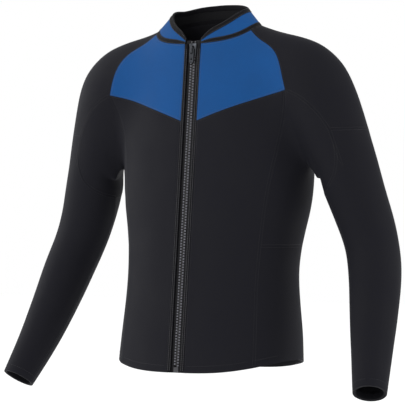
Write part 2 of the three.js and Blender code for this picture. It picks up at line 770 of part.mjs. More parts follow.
addHard(zip, "zip_teeth_right", toothedStrip(-1, TOOTH_PITCH / 2), blackMoulding);
const stopNear = CHAIN_HALF - SPINE - 1;
const stopOutline = rectangle(stopNear, CHAIN_HALF, CHAIN_FACE - 0.2, CHAIN_BACK + 0.2);
addHardPair("zip_top_stop", stopOutline, TOP + SEAM_GAP, TOP + SEAM_GAP + STOP_TALL, blackMoulding);

// Foot of the zip: the pin of the left half stands in a box on the right half.
const pinHalf = PIN_WIDE / 2;
const pinNear = PIN_MIDDLE - pinHalf;
const pinFar = PIN_MIDDLE + pinHalf;
const box = rectangle(-BOX_WIDE / 2, BOX_WIDE / 2, CHAIN_FACE - BOX_WALL, CHAIN_BACK + BOX_WALL);
const bore = rectangle(
  pinNear - SEAM_GAP,
  pinFar + SEAM_GAP,
  CHAIN_MIDDLE - pinHalf - SEAM_GAP,
  CHAIN_MIDDLE + pinHalf + SEAM_GAP,
);
addHard(zip, "retainer_box", upright(box, FOOT, FOOT + BOX_TALL, [bore]), blackMoulding);
const pin = rectangle(pinNear, pinFar, CHAIN_MIDDLE - pinHalf, CHAIN_MIDDLE + pinHalf);
addHard(zip, "insertion_pin", upright(pin, FOOT, chainFoot - SEAM_GAP + 0.2), blackMoulding);
// Backing flap: a strip behind the teeth, joined on the wearer's left, where it rises to the tape.
const flapFar = SLIDER_WIDE / 2 + 1.5;
const flapNear = TAPE_FACE + TAPE_THICK + LAYER_GAP;
const flapDeep = CHAIN_BACK + RUNNING + SLIDER_SKIN + LAYER_GAP;
const flapMiddle = [[-16, flapDeep], [flapFar, flapDeep], [flapFar + 4, flapNear], [TAPE_HALF + 5, flapNear]];
const flapOutline = flapMiddle.concat([...flapMiddle].reverse().map(([x, y]) => [x, y + FLAP_THICK]));
const flapFoot = (HEM_FRONT + TURN_UP + 1) * upZip;
addHard(zip, "zip_backing_flap", upright(flapOutline, flapFoot, TOP + TAPE_PAST_CHAIN), blackWeb);

// ---------------------------------------------------------------- slider, at the top of the closed chain
const SLIDER_MIDDLE = TOP - SLIDER_LONG / 2;
slider.position.z = SLIDER_MIDDLE;
const halfLong = SLIDER_LONG / 2;
const plateFace = CHAIN_FACE - RUNNING - SLIDER_SKIN;
const plateBack = CHAIN_FACE - RUNNING;
const lip = SLIDER_WIDE / 2;
const lipIn = CHAIN_HALF + RUNNING;
const lipEnd = TAPE_FACE - RUNNING;

// A slider plate in x and y: flat, with a lip down each side. The back one is the same, turned over.
const frontPlate = [
  [-lip, plateFace + 0.4],
  [-lip + 0.9, plateFace],
  [lip - 0.9, plateFace],
  [lip, plateFace + 0.4],
  [lip, lipEnd],
  [lipIn, lipEnd],
  [lipIn, plateBack],
  [-lipIn, plateBack],
  [-lipIn, lipEnd],
  [-lip, lipEnd],
];
const turnedOver = frontPlate.map(([x, y]) => [x, 2 * CHAIN_MIDDLE - y]).reverse();
addHard(slider, "slider_front_plate", upright(frontPlate, -halfLong, halfLong), gunmetal);
addHard(slider, "slider_back_plate", upright(turnedOver, -halfLong, halfLong), gunmetal);

// An outline in z and y, drawn across the slider.
function crossways(points, width, holes = []) {
  return upright(points, -width / 2, width / 2, holes).rotateY(-Math.PI / 2);
}
const bridgeFoot = plateFace - SEAM_GAP;
const bridgeTop = bridgeFoot - BRIDGE_HIGH;
const half = BRIDGE_LONG / 2;
const bridge = [
  [-half, bridgeFoot],
  [-half, bridgeTop + 1.6],
  [-half + 2, bridgeTop],
  [half - 2, bridgeTop],
  [half, bridgeTop + 1.6],
  [half, bridgeFoot],
  [half - BRIDGE_BAR, bridgeFoot],
  [half - BRIDGE_BAR, bridgeTop + 2.2],
  [half - 2.6, bridgeTop + BRIDGE_BAR],
  [-half + 2.6, bridgeTop + BRIDGE_BAR],
  [-half + BRIDGE_BAR, bridgeTop + 2.2],
  [-half + BRIDGE_BAR, bridgeFoot],
];
addHard(slider, "slider_bridge", crossways(bridge, BRIDGE_WIDE), gunmetal);

// Pull tab: its cross bar lies under the bridge, and the tab hangs down in front of the chain.
const BAR_DEPTH = (bridgeFoot + bridgeTop + BRIDGE_BAR) / 2;
const pull = new THREE.Group();
pull.position.y = BAR_DEPTH;
slider.add(pull);
const barHalf = PULL_BAR / 2;
const windowWide = BRIDGE_WIDE / 2 + 0.7;
const windowEnd = -(half + 1.6);
const tab = new THREE.Shape();
tab.moveTo(-PULL_WIDE / 2, barHalf);
tab.lineTo(-PULL_WIDE / 2, -PULL_LONG + PULL_CORNER);
const cornerX = PULL_WIDE / 2 - PULL_CORNER;
tab.absarc(-cornerX, -PULL_LONG + PULL_CORNER, PULL_CORNER, Math.PI, 1.5 * Math.PI);
tab.absarc(cornerX, -PULL_LONG + PULL_CORNER, PULL_CORNER, 1.5 * Math.PI, 2 * Math.PI);
tab.lineTo(PULL_WIDE / 2, barHalf);
tab.closePath();
const window = rectangle(-windowWide, windowWide, windowEnd, -barHalf);
tab.holes.push(new THREE.Path(window.map(([x, y]) => new THREE.Vector2(x, y))));
const eye = new THREE.Path();
eye.absarc(0, -PULL_LONG + PULL_EYE_UP, PULL_EYE, 0, 2 * Math.PI);
tab.holes.push(eye);
const pullDrawn = { depth: PULL_THICK, bevelEnabled: false, curveSegments: 8 };
const pullSolid = new THREE.ExtrudeGeometry(tab, pullDrawn).rotateX(Math.PI / 2);
addHard(pull, "pull_tab", pullSolid.translate(0, PULL_THICK / 2, 0), gunmetal);

export default jacket;
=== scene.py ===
# A long-sleeved neoprene wetsuit jacket with a full-length front zip.
import math

import bmesh
import bpy
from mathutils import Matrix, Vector, kdtree, noise


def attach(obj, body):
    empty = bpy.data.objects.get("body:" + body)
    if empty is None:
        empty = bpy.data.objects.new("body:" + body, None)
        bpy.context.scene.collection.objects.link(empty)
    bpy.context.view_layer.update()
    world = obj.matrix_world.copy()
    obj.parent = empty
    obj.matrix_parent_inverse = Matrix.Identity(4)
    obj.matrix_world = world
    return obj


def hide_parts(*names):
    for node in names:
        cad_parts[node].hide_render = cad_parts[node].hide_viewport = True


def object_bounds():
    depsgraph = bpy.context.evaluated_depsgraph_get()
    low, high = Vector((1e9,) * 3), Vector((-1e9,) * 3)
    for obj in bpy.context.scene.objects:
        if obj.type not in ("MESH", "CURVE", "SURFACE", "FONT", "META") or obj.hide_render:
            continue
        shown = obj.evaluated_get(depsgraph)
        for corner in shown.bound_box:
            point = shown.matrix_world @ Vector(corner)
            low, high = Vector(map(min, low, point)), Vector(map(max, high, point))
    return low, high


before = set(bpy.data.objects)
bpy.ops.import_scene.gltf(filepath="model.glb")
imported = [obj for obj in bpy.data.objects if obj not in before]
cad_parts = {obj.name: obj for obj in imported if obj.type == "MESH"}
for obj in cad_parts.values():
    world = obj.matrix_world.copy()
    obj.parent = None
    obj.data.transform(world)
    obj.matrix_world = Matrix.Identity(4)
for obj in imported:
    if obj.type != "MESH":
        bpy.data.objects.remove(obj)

cad_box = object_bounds()

# ---------------------------------------------------------------------------------------------
# Camera. It stands level, to the wearer's left of the front, far enough for little perspective.
# The lens is raised and shifted, as a view camera's is, so that upright lines stay upright.
# ---------------------------------------------------------------------------------------------
camera_turn = math.radians(33)
camera_reach = 4.545
camera_height = -0.317
lens_mm = 220.588
lens_shift_across = -0.028186
lens_shift_up = 0.026961
bpy.ops.object.camera_add(
    location=(camera_reach * math.sin(camera_turn), -camera_reach * math.cos(camera_turn), camera_height),
    rotation=(math.pi / 2, 0, camera_turn),
)
camera = bpy.context.object
camera.name = "camera"
camera.data.sensor_width = 36
camera.data.lens = lens_mm
camera.data.shift_x = lens_shift_across
camera.data.shift_y = lens_shift_up
bpy.context.scene.camera = camera

# ---------------------------------------------------------------------------------------------
# Studio. A white paper sweep lies well below the hem, in a white room. Three large soft lamps
# light the jacket from the front and from each side.
# ---------------------------------------------------------------------------------------------
floor_drop = 0.45


def linear(hex_colour):
    """sRGB hex, such as 1B3F7A, to linear RGBA."""
    channels = [int(hex_colour[i:i + 2], 16) / 255 for i in (0, 2, 4)]
    return [c / 12.92 if c <= 0.04045 else ((c + 0.055) / 1.055) ** 2.4 for c in channels] + [1]


def add_node(tree, kind, inputs=(), **settings):
    """Adds a shader node, sets its properties, and links or sets its inputs."""
    node = tree.nodes.new(kind)
    for name, value in settings.items():
        setattr(node, name, value)
    for name, value in dict(inputs).items():
        if isinstance(value, bpy.types.NodeSocket):
            tree.links.new(value, node.inputs[name])
        else:
            node.inputs[name].default_value = value
    return node


def new_material(name):
    """An empty Principled material: its node tree and its shader."""
    material = bpy.data.materials.new(name)
    material.use_nodes = True
    return material, material.node_tree, material.node_tree.nodes["Principled BSDF"]


def spread(tree, value, low, high, first=0.3, last=0.7):
    """Stretches a noise over low to high. Most of it lies between first and last."""
    node = add_node(tree, "ShaderNodeMapRange", {"Value": value, "From Min": first, "From Max": last,
                    "To Min": low, "To Max": high})
    return node.outputs["Result"]


def shaded(tree, colour, shade):
    """A colour times a shade that varies over the surface."""
    return add_node(tree, "ShaderNodeVectorMath", {0: colour, "Scale": shade},
                    operation="SCALE").outputs["Vector"]


def set_surface(tree, shader, colour, rough):
    """Links a material's colour and its roughness."""
    tree.links.new(colour, shader.inputs["Base Color"])
    tree.links.new(rough, shader.inputs["Roughness"])


def add_relief(tree, shader, height, strength, depth):
    """Raises a pattern, depth in metres at full strength."""
    bump = add_node(tree, "ShaderNodeBump", {"Height": height, "Strength": strength, "Distance": depth})
    tree.links.new(bump.outputs["Normal"], shader.inputs["Normal"])


def deselect_all():
    bpy.ops.object.select_all(action="DESELECT")


deselect_all()
lowest = cad_box[0][2]
bpy.ops.mesh.primitive_plane_add(size=30, location=(0, 0, lowest - floor_drop))
floor = bpy.context.object
floor.name = "paper_floor"
# Matte white seamless paper: no gloss, almost no texture.
paper, _, paper_shader = new_material("matte_white_seamless_paper")
paper_shader.inputs["Base Color"].default_value = linear("FAFAFA")
paper_shader.inputs["Roughness"].default_value = 1
paper_shader.inputs["Emission Color"].default_value = linear("FFFFFF")
paper_shader.inputs["Emission Strength"].default_value = 0.12
floor.data.materials.append(paper)

room = bpy.data.worlds.new("white_room")
room.use_nodes = True
room.node_tree.nodes["Background"].inputs["Color"].default_value = (1, 1, 1, 1)
room.node_tree.nodes["Background"].inputs["Strength"].default_value = 1.0
bpy.context.scene.world = room
bpy.context.scene.view_settings.view_transform = "Standard"


def add_lamp(name, place, size, watts):
    """A square soft lamp that faces the middle of the jacket."""
    place = Vector(place)
    aim = (Vector((0, 0, -0.3)) - place).to_track_quat("-Z", "Y")
    bpy.ops.object.light_add(type="AREA", location=place, rotation=aim.to_euler())
    lamp = bpy.context.object
    lamp.name = name
    lamp.data.size = size
    lamp.data.energy = watts


add_lamp("key_softbox", (-1.2, -3.0, 2.4), 1.6, 60)
add_lamp("left_softbox", (-3.2, -0.4, 0.6), 1.8, 40)
add_lamp("right_softbox", (3.0, 0.8, 0.9), 1.8, 40)

# ---------------------------------------------------------------------------------------------
# Foam panels. Each is die-cut from 3 mm neoprene foam with a nylon jersey bonded to both faces,
# and sewn edge to edge to its neighbours, so that a shallow groove runs along every seam.
# ---------------------------------------------------------------------------------------------
edge_round = 0.0011
seam_angle = math.radians(58)
# A wave texture of this scale has one band in each metre.
wave_turn = 0.314


def knit_rows(tree, cloth, step, wobble, direction):
    """Bands across a cloth's pattern, one every step."""
    return add_node(tree, "ShaderNodeTexWave", {"Vector": cloth, "Scale": wave_turn / step,
                    "Distortion": wobble, "Detail": 1.0, "Detail Scale": 2.0},
                    wave_type="BANDS", bands_direction=direction).outputs["Fac"]


def jersey_material(name, outside, inside, sheen_colour):
    """Warp-knit nylon jersey bonded to foam: matte, with a soft bloom at grazing angles. Its columns
    of loops are 0.9 mm apart and are drawn 1.8 mm apart, or they would not show. The inside face
    and the cut edge are black on every panel."""
    material, tree, shader = new_material(name)
    cloth = add_node(tree, "ShaderNodeUVMap", uv_map="cloth").outputs["UV"]
    place = add_node(tree, "ShaderNodeTexCoord").outputs["Object"]
    columns = knit_rows(tree, cloth, 0.0018, 2.0, "X")
    courses = knit_rows(tree, cloth, 0.0015, 1.5, "Y")
    knit = add_node(tree, "ShaderNodeMath", {0: columns, 1: courses}, operation="MULTIPLY")
    clouds = add_node(tree, "ShaderNodeTexNoise", {"Vector": place, "Scale": 16.0, "Detail": 3.0})
    fuzz = add_node(tree, "ShaderNodeTexNoise", {"Vector": place, "Scale": 1100.0, "Detail": 2.0})
    tone = spread(tree, clouds.outputs["Fac"], 0.95, 1.05)
    grain = spread(tree, fuzz.outputs["Fac"], 0.88, 1.12)
    shade = add_node(tree, "ShaderNodeMath", {0: tone, 1: grain}, operation="MULTIPLY")
    layer = add_node(tree, "ShaderNodeAttribute", attribute_name="layer")
    is_outside = spread(tree, layer.outputs["Fac"], 0.0, 1.0, first=1.0, last=2.0)
    colour = add_node(tree, "ShaderNodeMix", {0: is_outside, 6: linear(inside), 7: linear(outside)},
                      data_type="RGBA")
    set_surface(tree, shader, shaded(tree, colour.outputs[2], shade.outputs["Value"]),
                spread(tree, clouds.outputs["Fac"], 0.7, 0.86, first=0.0, last=1.0))
    add_relief(tree, shader, knit.outputs["Value"], 0.4, 0.0002)
    shader.inputs["IOR"].default_value = 1.45
    shader.inputs["Specular IOR Level"].default_value = 0.15
    shader.inputs["Sheen Weight"].default_value = 0.04
    shader.inputs["Sheen Roughness"].default_value = 0.4
    shader.inputs["Sheen Tint"].default_value = linear(sheen_colour)
    return material


black_jersey = jersey_material("black_nylon_jersey_on_neoprene", "0F0F15", "0F0F13", "767A8A")
blue_jersey = jersey_material("blue_nylon_jersey_on_neoprene", "0D3F73", "121214", "7FA6D8")


def copy_of(node, name):
    """A new object that starts from a frame node's mesh, with its loose triangles merged."""
    deselect_all()
    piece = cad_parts[node].copy()
    piece.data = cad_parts[node].data.copy()
    piece.parent = None
    piece.name = name
    piece.data.name = name
    for key in list(piece.keys()):
        del piece[key]
    bpy.context.scene.collection.objects.link(piece)
    piece.data.materials.clear()
    bpy.context.view_layer.objects.active = piece
    piece.select_set(True)
    bpy.ops.object.mode_set(mode="EDIT")
    bpy.ops.mesh.select_all(action="SELECT")
    bpy.ops.mesh.remove_doubles(threshold=0.00001)
    bpy.ops.mesh.customdata_custom_splitnormals_clear()
    bpy.ops.object.mode_set(mode="OBJECT")
    return piece


def mark_layers(piece):
    """Finds the two faces of a sheet and the wall between them: 2 outside, 1 cut edge, 0 inside."""
    work = bmesh.new()
    work.from_mesh(piece.data)
    crease = work.edges.layers.float.new("crease_edge")
    layer = work.faces.layers.float.new("layer")
    work.normal_update()
    for edge in work.edges:
        edge[crease] = 1.0 if edge.calc_face_angle(0) > seam_angle else 0.0
    islands, seen = [], set()
    for start in work.faces:
        if start in seen:
            continue
        island, queue = [], [start]
        seen.add(start)
        while queue:
            face = queue.pop()
            island.append(face)
            for edge in face.edges:
                if edge[crease] < 0.5:
                    for other in edge.link_faces:
                        if other not in seen:
                            seen.add(other)
                            queue.append(other)
        islands.append(island)
    islands.sort(key=lambda island: -sum(f.calc_area() for f in island))
    centre = sum((v.co for v in work.verts), Vector()) / len(work.verts)

    def outwardness(island):
        return sum(f.calc_area() * f.normal.dot(f.calc_center_median() - centre) for f in island)

    sides = sorted(islands[:2], key=outwardness)
    for island in islands:
        for face in island:
            face[layer] = 1.0
    for value, island in ((0.0, sides[0]), (2.0, sides[1])):
        for face in island:
            face[layer] = value
    work.to_mesh(piece.data)
    work.free()


narrow_share = 0.35


def lay_flat(piece):
    """Unwraps the sheet in metres, as its cutting pattern, and gives the flat size of its outside."""
    bpy.ops.object.mode_set(mode="EDIT")
    bpy.ops.mesh.select_all(action="DESELECT")
    bpy.ops.mesh.select_mode(type="EDGE")
    bpy.ops.object.mode_set(mode="OBJECT")
    creases = piece.data.attributes["crease_edge"].data
    for edge, crease in zip(piece.data.edges, creases):
        edge.use_seam = crease.value > 0.5
    while piece.data.uv_layers:
        piece.data.uv_layers.remove(piece.data.uv_layers[0])
    piece.data.uv_layers.new(name="cloth")
    bpy.ops.object.mode_set(mode="EDIT")
    bpy.ops.mesh.select_mode(type="FACE")
    bpy.ops.mesh.select_all(action="SELECT")
    bpy.ops.uv.unwrap(method="ANGLE_BASED", margin=0.001)
    bpy.ops.object.mode_set(mode="OBJECT")
    mesh = piece.data
    uv = mesh.uv_layers["cloth"].data
    layers = mesh.attributes["layer"].data
    real = drawn = 0.0
    corners = []
    for polygon, layer in zip(mesh.polygons, layers):
        if layer.value < 1.5:
            continue
        points = [uv[i].uv.copy() for i in polygon.loop_indices]
        real += polygon.area
        drawn += abs(sum(a.x * b.y - b.x * a.y for a, b in zip(points, points[1:] + points[:1]))) / 2
        corners += points
    scale = math.sqrt(real / drawn)
    for corner in uv:
        corner.uv = corner.uv * scale
    width = (max(p.x for p in corners) - min(p.x for p in corners)) * scale
    length = (max(p.y for p in corners) - min(p.y for p in corners)) * scale
    # A narrow bent strip's box says little, so its width and length come from its area and its edge.
    if real < narrow_share * width * length:
        edge = sum((mesh.vertices[e.vertices[0]].co - mesh.vertices[e.vertices[1]].co).length
                   for e in mesh.edges if e.use_seam) / 2
        width = edge / 4 - math.sqrt(max(edge * edge / 16 - real, 0.0))
        length = real / width
    return (width, length), real


def add_modifier(piece, kind, **settings):
    """Adds a modifier and applies it."""
    modifier = piece.modifiers.new(kind.lower(), kind)
    for name, value in settings.items():
        setattr(modifier, name, value)
    deselect_all()
    piece.select_set(True)
    bpy.context.view_layer.objects.active = piece
    bpy.ops.object.modifier_apply(modifier=modifier.name)


def soft_pull(point):
    """How far out, in metres, a worn jersey lies off its smooth shape: long shallow drags."""
    slow = noise.noise(point * 9.0)
    quick = noise.noise(Vector((point.x * 26.0, point.y * 26.0, point.z * 14.0)) + Vector((7.3, 1.1, 4.2)))
    return 0.0010 * slow + 0.0004 * quick


def outward_normals(mesh):
    """At each vertex, the direction out of the jacket, from the sheet's two faces and not its wall."""
    layers = mesh.attributes["layer"].data
    out = [Vector() for _ in mesh.vertices]
    for polygon, layer in zip(mesh.polygons, layers):
        if abs(layer.value - 1.0) > 0.5:
            push = polygon.normal * (polygon.area if layer.value > 1.5 else -polygon.area)
            for i in polygon.vertices:
                out[i] += push
    return [v.normalized() for v in out]


def drag(piece):
    """Moves both faces of a sheet together, into its long shallow drags."""
    for vertex, out in zip(piece.data.vertices, outward_normals(piece.data)):
        vertex.co += out * soft_pull(vertex.co)


def keep_edges(piece, node):
    """Keeps the outside edge of a sheet for its stitching: place, way in from the edge, way out."""
    work = bmesh.new()
    work.from_mesh(piece.data)
    layer = work.faces.layers.float["layer"]
    runs = []
    for edge in work.edges:
        sides = sorted(edge.link_faces, key=lambda f: f[layer])
        if len(sides) == 2 and sides[1][layer] > 1.5 and 0.5 < sides[0][layer] < 1.5:
            a, b = edge.verts
            middle = (a.co + b.co) / 2
            way_in = sides[1].calc_center_median() - middle
            runs.append((a.index, b.index, a.co.copy(), b.co.copy(), way_in, sides[1].normal.copy()))
    work.free()
    sheet_edges[node] = runs


def pin_corners(piece, corners):
    """Keeps a sheet's edge in place where a corner of this or another sheet meets it."""
    work = bmesh.new()
    work.from_mesh(piece.data)
    crease = work.edges.layers.float["crease_edge"]
    pinned = work.verts.layers.float.new("crease_vert")
    for vertex in work.verts:
        if any(edge[crease] > 0.5 for edge in vertex.link_edges):
            near = corners.find(vertex.co)[2]
            vertex[pinned] = 1.0 if near < corner_reach else 0.0
    work.to_mesh(piece.data)
    work.free()


def corners_of(piece):
    """The points where a sheet's edge turns sharply, on its outside and on its inside."""
    work = bmesh.new()
    work.from_mesh(piece.data)
    crease = work.edges.layers.float["crease_edge"]
    layer = work.faces.layers.float["layer"]
    found = []
    for vertex in work.verts:
        rim = []
        for edge in vertex.link_edges:
            values = sorted(f[layer] for f in edge.link_faces)
            if edge[crease] > 0.5 and values[0] != values[-1]:
                rim.append((edge.other_vert(vertex).co - vertex.co).normalized())
        if len(rim) == 2 and rim[0].angle(rim[1]) < math.radians(180 - corner_turn):
            found.append(vertex.co.copy())
    work.free()
    return found


def grow_edges(piece, amount):
    """Pushes the cut edges of a sheet outwards, so that it meets or laps over what lies beside it."""
    pushes = [Vector() for _ in piece.data.vertices]
    for polygon, layer in zip(piece.data.polygons, piece.data.attributes["layer"].data):
        if 0.5 < layer.value < 1.5:
            for i in polygon.vertices:
                pushes[i] += polygon.normal
    for vertex, push in zip(piece.data.vertices, pushes):
        if push.length > 0.1:
            vertex.co += push.normalized() * amount


corner_reach = 0.0015
corner_turn = 42
sheet_edges = {}
sheets = {}


def cut_sheet(node, overlap=0.0):
    """A sheet as it is cut: its two faces known, laid flat for its pattern, and measured."""
    piece = copy_of(node, node + "_cloth")
    bpy.ops.object.mode_set(mode="EDIT")
    bpy.ops.mesh.select_all(action="SELECT")
    bpy.ops.mesh.tris_convert_to_quads(face_threshold=math.pi, shape_threshold=math.pi)
    bpy.ops.object.mode_set(mode="OBJECT")
    mark_layers(piece)
    flat, area = lay_flat(piece)
    if overlap:
        grow_edges(piece, overlap)
    sheets[node] = (piece, flat, area)


def finish_sheet(node, material, folded=1.0):
    piece, flat, area = sheets[node]
    flat, area = (flat[0] * folded, flat[1]), area * folded
    pin_corners(piece, sheet_corners)
    add_modifier(piece, "SUBSURF", levels=2, render_levels=2)
    drag(piece)
    keep_edges(piece, node)
    add_modifier(piece, "BEVEL", width=edge_round, segments=2, limit_method="ANGLE", angle_limit=seam_angle)
    bpy.ops.object.shade_smooth()
    piece.data.materials.append(material)
    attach(piece, "jacket")
    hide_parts(node)


trunk_sheets = ["upper_back_panel", "lower_back_panel"]
for side in ("left", "right"):
    for part in ("chest_yoke_", "front_panel_", "side_panel_", "underarm_panel_", "shoulder_panel_"):
        trunk_sheets.append(part + side)
sleeve_sheets = ["sleeve_left", "sleeve_right"]
neck_strips = {"neck_seam_tape": 0.0012, "collar": 0.0, "collar_binding": 0.0005}
turn_up_sheets = ["hem_turn_up", "cuff_turn_up_left", "cuff_turn_up_right"]
# Glued seams press the panels' cut edges together, so each one is a little over its net size.
seam_press = 0.00045
for node in trunk_sheets + sleeve_sheets:
    cut_sheet(node, seam_press)
for node in turn_up_sheets:
    cut_sheet(node)
for node, overlap in neck_strips.items():
    cut_sheet(node, overlap)
found = [point for piece, _, _ in sheets.values() for point in corners_of(piece)]
sheet_corners = kdtree.KDTree(len(found))
for number, point in enumerate(found):
    sheet_corners.insert(point, number)
sheet_corners.balance()

for node in trunk_sheets:
    if node.startswith("chest_yoke"):
        finish_sheet(node, blue_jersey)
    else:
        finish_sheet(node, black_jersey)

# ---------------------------------------------------------------------------------------------
# Sleeves. One foam panel of the same black neoprene goes right round each arm, and is closed by a
# seam along its inside. It is cut to hang a little bent at the elbow.
# ---------------------------------------------------------------------------------------------
for node in sleeve_sheets:
    finish_sheet(node, black_jersey)

# ---------------------------------------------------------------------------------------------
# Collar. A standing band of neoprene foam with blue jersey outside and black inside. Its foot is
# sewn round the neck, and its top edge is bound.
# ---------------------------------------------------------------------------------------------
finish_sheet("collar", blue_jersey)

# ---------------------------------------------------------------------------------------------
# Bindings at the neck. Matte black stretch tape, folded over the collar's top edge and laid over
# the neck seam, and topstitched along both sides.
# ---------------------------------------------------------------------------------------------


def tape_material(name, colour, rib_step, direction="Z"):
    """Woven polyester tape: matte, with fine ribs that catch a little light."""
    material, tree, shader = new_material(name)
    place = add_node(tree, "ShaderNodeTexCoord").outputs["Object"]
    ribs = add_node(tree, "ShaderNodeTexWave", {"Vector": place, "Scale": wave_turn / rib_step,
                    "Distortion": 0.6, "Detail": 1.0}, wave_type="BANDS", bands_direction=direction)
    yarn = add_node(tree, "ShaderNodeTexNoise", {"Vector": place, "Scale": 1500.0, "Detail": 2.0})
    tone = spread(tree, yarn.outputs["Fac"], 0.8, 1.2)
    set_surface(tree, shader, shaded(tree, linear(colour)[:3], tone),
                spread(tree, yarn.outputs["Fac"], 0.65, 0.85, first=0.0, last=1.0))
    add_relief(tree, shader, ribs.outputs["Fac"], 0.5, 0.0002)
    shader.inputs["Specular IOR Level"].default_value = 0.12
    return material


black_tape = tape_material("black_woven_stretch_tape", "07070B", 0.0012)
# Each tape is folded in two: as cut, it is nearly twice as wide as it shows.
tape_fold = 1.8
for node in ("neck_seam_tape", "collar_binding"):
    finish_sheet(node, black_tape, folded=tape_fold)

# ---------------------------------------------------------------------------------------------
# Turned-up hems. At the waist and at each wrist the jersey-faced edge is folded in and glued, and
# the fold is soft and round.
# ---------------------------------------------------------------------------------------------
for node in turn_up_sheets:
    finish_sheet(node, black_jersey)

# ---------------------------------------------------------------------------------------------
# Seam stitching. Black bonded-nylon thread: two rows of blind topstitch run beside every seam,
# one on each panel, a step in from its edge. The thread pulls a shallow dash into the jersey.
# ---------------------------------------------------------------------------------------------
stitch_in = 0.0026
hem_stitch_in = 0.0125
stitch_long = 0.0024
stitch_step = 0.0036
collar_stitch_in = 0.0011
thread_half = 0.00032
thread_high = 0.00034
thread_sunk = 0.0002
# Longer runs than this are gaps between seams, and shorter ones have no direction.
longest_run, shortest_run = 0.03, 1e-7
# Places along a stitch, as shares of its length, and the thread's size there.
stitch_rings = ((-0.5, 0.35), (-0.25, 1.0), (0.25, 1.0), (0.5, 0.35))


def thread_material(name, colour):
    """Bonded nylon sewing thread: twisted, a little glossy, so it catches light along its rounds."""
    material, tree, shader = new_material(name)
    place = add_node(tree, "ShaderNodeTexCoord").outputs["Object"]
    twist = add_node(tree, "ShaderNodeTexNoise", {"Vector": place, "Scale": 2500.0, "Detail": 1.0})
    tone = spread(tree, twist.outputs["Fac"], 0.8, 1.2)
    set_surface(tree, shader, shaded(tree, linear(colour)[:3], tone),
                spread(tree, twist.outputs["Fac"], 0.35, 0.55, first=0.0, last=1.0))
    return material


black_thread = thread_material("black_bonded_nylon_thread", "1C1C1F")
grey_thread = thread_material("dark_grey_bonded_nylon_thread", "4A4A4E")


def chains(runs):
    """Joins an edge's short runs into chains of corners: place, way in from the edge, way out."""
    joined, used, ends = [], set(), {}
    for number, (a, b, *_) in enumerate(runs):
        ends.setdefault(a, []).append(number)
        ends.setdefault(b, []).append(number)
    for first in range(len(runs)):
        if first in used:
            continue
        used.add(first)
        loop = [runs[first][0], runs[first][1]]
        a, b, pa, pb, way_in, out = runs[first]
        corners = [(pa, way_in, out), (pb, way_in, out)]
        for grow in (False, True):
            while True:
                tip = loop[0] if grow else loop[-1]
                following = [n for n in ends[tip] if n not in used]
                if not following:
                    break
                used.add(following[0])
                a, b, pa, pb, way_in, out = runs[following[0]]
                other, place = (b, pb) if a == tip else (a, pa)
                if grow:
                    loop.insert(0, other)
                    corners.insert(0, (place, way_in, out))
                else:
                    loop.append(other)
                    corners.append((place, way_in, out))
        joined.append(corners)
    return joined


def stitch_line(corners, inset):
    """The line that a row of stitches follows, a step in from an edge: place, way out, way along."""
    line = []
    last = len(corners) - 1
    for i, (place, way_in, out) in enumerate(corners):
        along = corners[min(i + 1, last)][0] - corners[max(i - 1, 0)][0]
        if along.length < shortest_run:
            continue
        along.normalize()
        square = out.cross(along)
        if square.dot(way_in) < 0:
            square = -square
        line.append((place + square * inset, out, along))
    return line


def stitches(line):
    """Dashes of thread along a line, each a low bar that thins at both ends."""
    verts, faces = [], []
    walked, due = 0.0, stitch_step / 2
    for (p, out, _), (q, out_q, _) in zip(line, line[1:]):
        run = (q - p).length
        if not shortest_run < run < longest_run:
            continue
        along = (q - p) / run
        while due < walked + run:
            middle = p + along * (due - walked)
            up = (out + out_q).normalized()
            across = up.cross(along).normalized()
            base = len(verts)
            for step, size in stitch_rings:
                foot = middle + along * (stitch_long * step)
                verts.append(foot + across * thread_half * size - up * thread_sunk)
                verts.append(foot + up * thread_high * size)
                verts.append(foot - across * thread_half * size - up * thread_sunk)
            for ring in range(3):
                a = base + ring * 3
                faces.append((a, a + 3, a + 4, a + 1))
                faces.append((a + 1, a + 4, a + 5, a + 2))
                faces.append((a + 2, a + 5, a + 3, a))
            faces.append((base, base + 1, base + 2))
            faces.append((base + 11, base + 10, base + 9))
            due += stitch_step
        walked += run
    return verts, faces


def sew(name, nodes, inset, material, keep=None):
    """One piece of thread: a row of stitches round the outside edge of each of these sheets."""
    verts, faces = [], []
    for node in nodes:
        for corners in chains(sheet_edges[node]):
            line = [spot for spot in stitch_line(corners, inset) if keep is None or keep(spot)]
            some_verts, some_faces = stitches(line)
            faces += [tuple(i + len(verts) for i in face) for face in some_faces]
            verts += some_verts
    mesh = bpy.data.meshes.new(name)
    mesh.from_pydata(verts, [], faces)
    work = bmesh.new()
    work.from_mesh(mesh)
    bmesh.ops.recalc_face_normals(work, faces=work.faces)
    work.to_mesh(mesh)
    work.free()
    piece = bpy.data.objects.new(name, mesh)
    bpy.context.scene.collection.objects.link(piece)
    piece.data.materials.append(material)
    for polygon in mesh.polygons:
        polygon.use_smooth = True
    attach(piece, "jacket")


def level(spot):
    """Whether an edge runs level here, as a hem does and a lengthwise seam doesn't."""
    return abs(spot[2].z) < 0.6


hem_reach = -0.565
cuff_reach = -0.595


def at_hem(spot):
    return level(spot) and spot[0].z < hem_reach


def at_cuff(spot):
    return level(spot) and spot[0].z < cuff_reach


def off_hem(spot):
    return not at_hem(spot)


def off_cuff(spot):
    return not at_cuff(spot)


